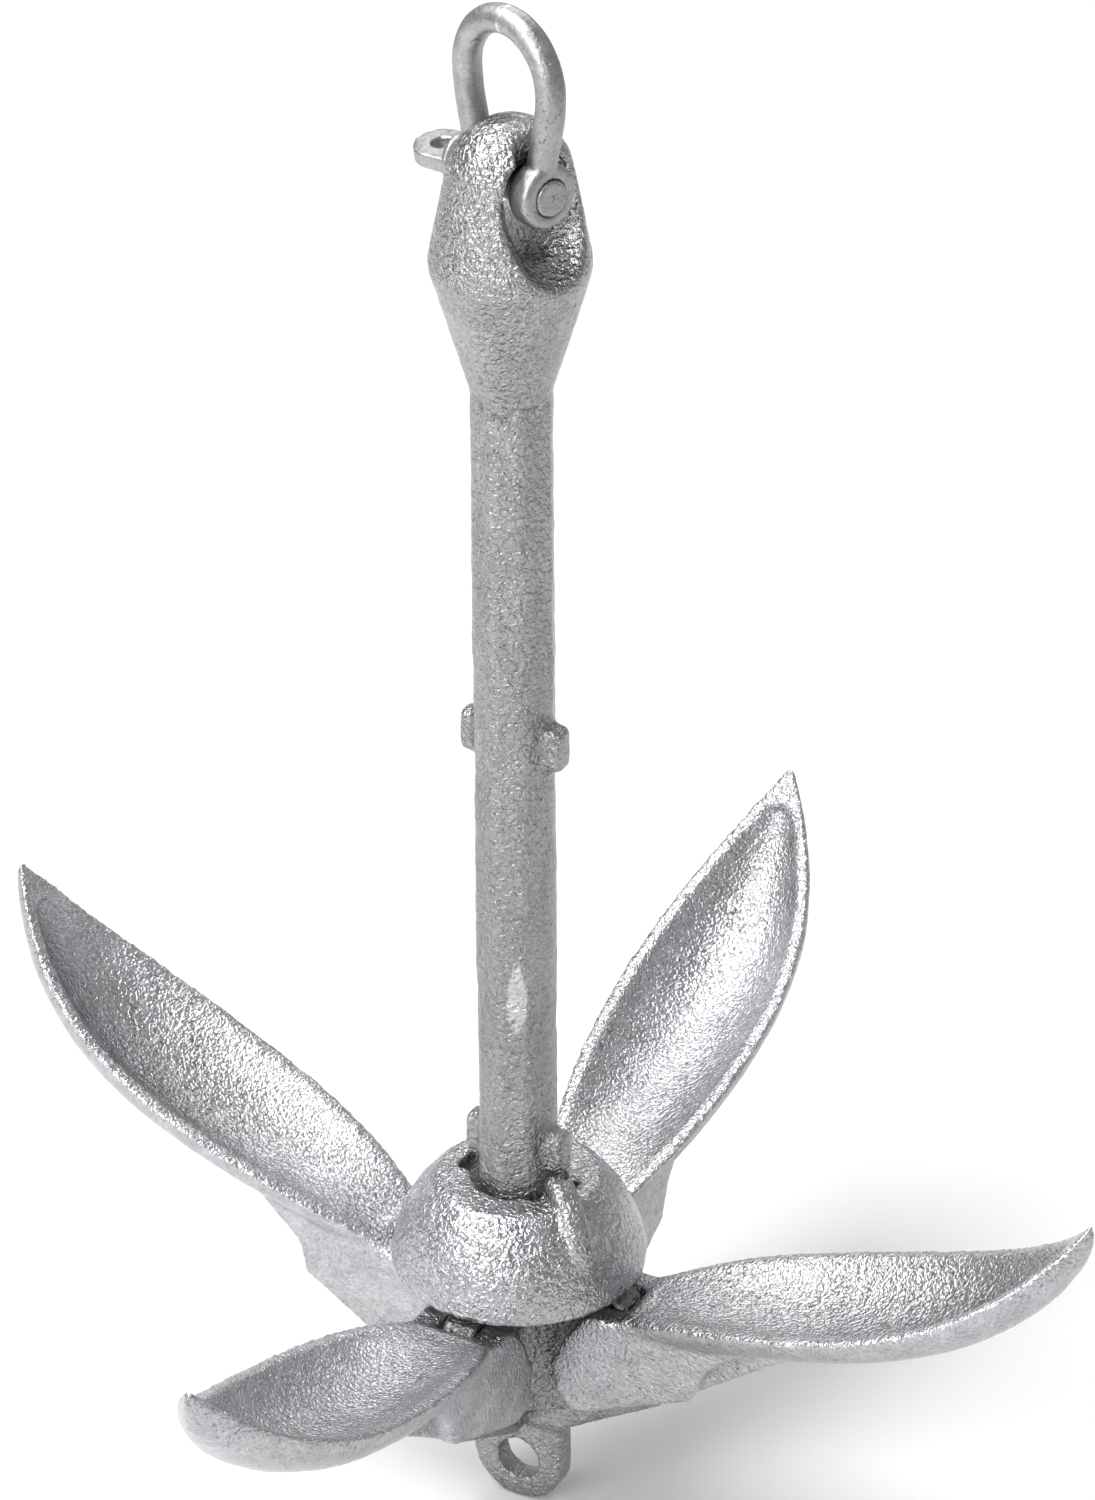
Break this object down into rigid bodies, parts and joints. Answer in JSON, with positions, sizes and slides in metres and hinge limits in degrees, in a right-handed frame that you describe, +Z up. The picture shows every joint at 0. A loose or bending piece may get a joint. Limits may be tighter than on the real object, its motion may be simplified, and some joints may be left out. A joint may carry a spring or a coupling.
{
  "type": "folding grapnel anchor",
  "caption": "Small folding grapnel anchor with hinged scoop flukes, a sliding locking collar, a trip-line eye and a screw-pin bow shackle.",
  "frame": {"origin": "where the shank axis crosses the plane of the four hinge pins", "axes": "+Z up the shank towards the shackle, +X along the first fluke, +Y along the second"},
  "size_m": [0.2639, 0.2698, 0.3589],
  "materials": {
    "galvanised_shank": "hot-dip galvanised, satin with fine spangle and mottling",
    "galvanised_collar": "hot-dip galvanised, bright and finely bumpy",
    "galvanised_fluke": "hot-dip galvanised, bright finely bumpy palms and matte cheeks",
    "galvanised_hinge_pin": "galvanised over, matte",
    "galvanised_shackle": "galvanised forged steel, satin",
    "galvanised_pin": "galvanised forged steel, satin"
  },
  "bodies": {
    "shank": {"shank": "galvanised_shank"},
    "collar": {"collar": "galvanised_collar"},
    "fluke_1": {"fluke_1": "galvanised_fluke", "hinge_pin_1": "galvanised_hinge_pin"},
    "fluke_2": {"fluke_2": "galvanised_fluke", "hinge_pin_2": "galvanised_hinge_pin"},
    "fluke_3": {"fluke_3": "galvanised_fluke", "hinge_pin_3": "galvanised_hinge_pin"},
    "fluke_4": {"fluke_4": "galvanised_fluke", "hinge_pin_4": "galvanised_hinge_pin"},
    "shackle": {"shackle_bow": "galvanised_shackle"},
    "shackle_pin": {"shackle_pin": "galvanised_pin"}
  },
  "joints": [
    {"name": "collar_slide", "type": "slide", "parent": "shank", "child": "collar", "axis": [0, 0, 1], "range_m": [0, 0.18]},
    {"name": "fluke_1_fold", "type": "hinge", "parent": "shank", "child": "fluke_1", "pos_m": [0.0245, 0, 0], "axis": [0, -1, 0], "range_deg": [0, 62.7]},
    {"name": "fluke_2_fold", "type": "hinge", "parent": "shank", "child": "fluke_2", "pos_m": [0, 0.0245, 0], "axis": [1, 0, 0], "range_deg": [0, 59.4]},
    {"name": "fluke_3_fold", "type": "hinge", "parent": "shank", "child": "fluke_3", "pos_m": [-0.0245, 0, 0], "axis": [0, 1, 0], "range_deg": [0, 54.9]},
    {"name": "fluke_4_fold", "type": "hinge", "parent": "shank", "child": "fluke_4", "pos_m": [0, -0.0245, 0], "axis": [-1, 0, 0], "range_deg": [0, 63.4]},
    {"name": "shackle_swing", "type": "hinge", "parent": "shank", "child": "shackle", "pos_m": [0, 0, 0.265], "axis": [0.9397, -0.342, 0], "range_deg": [-12, 12]},
    {"name": "shackle_pin_draw", "type": "slide", "parent": "shackle", "child": "shackle_pin", "axis": [-0.9397, 0.342, 0], "range_m": [0, 0.03]}
  ],
  "couplings": [
    {"joint": "fluke_1_fold", "follows": "collar_slide", "rad_per_m": 6.0795},
    {"joint": "fluke_2_fold", "follows": "collar_slide", "rad_per_m": 5.7595},
    {"joint": "fluke_3_fold", "follows": "collar_slide", "rad_per_m": 5.3232},
    {"joint": "fluke_4_fold", "follows": "collar_slide", "rad_per_m": 6.1474}
  ]
}
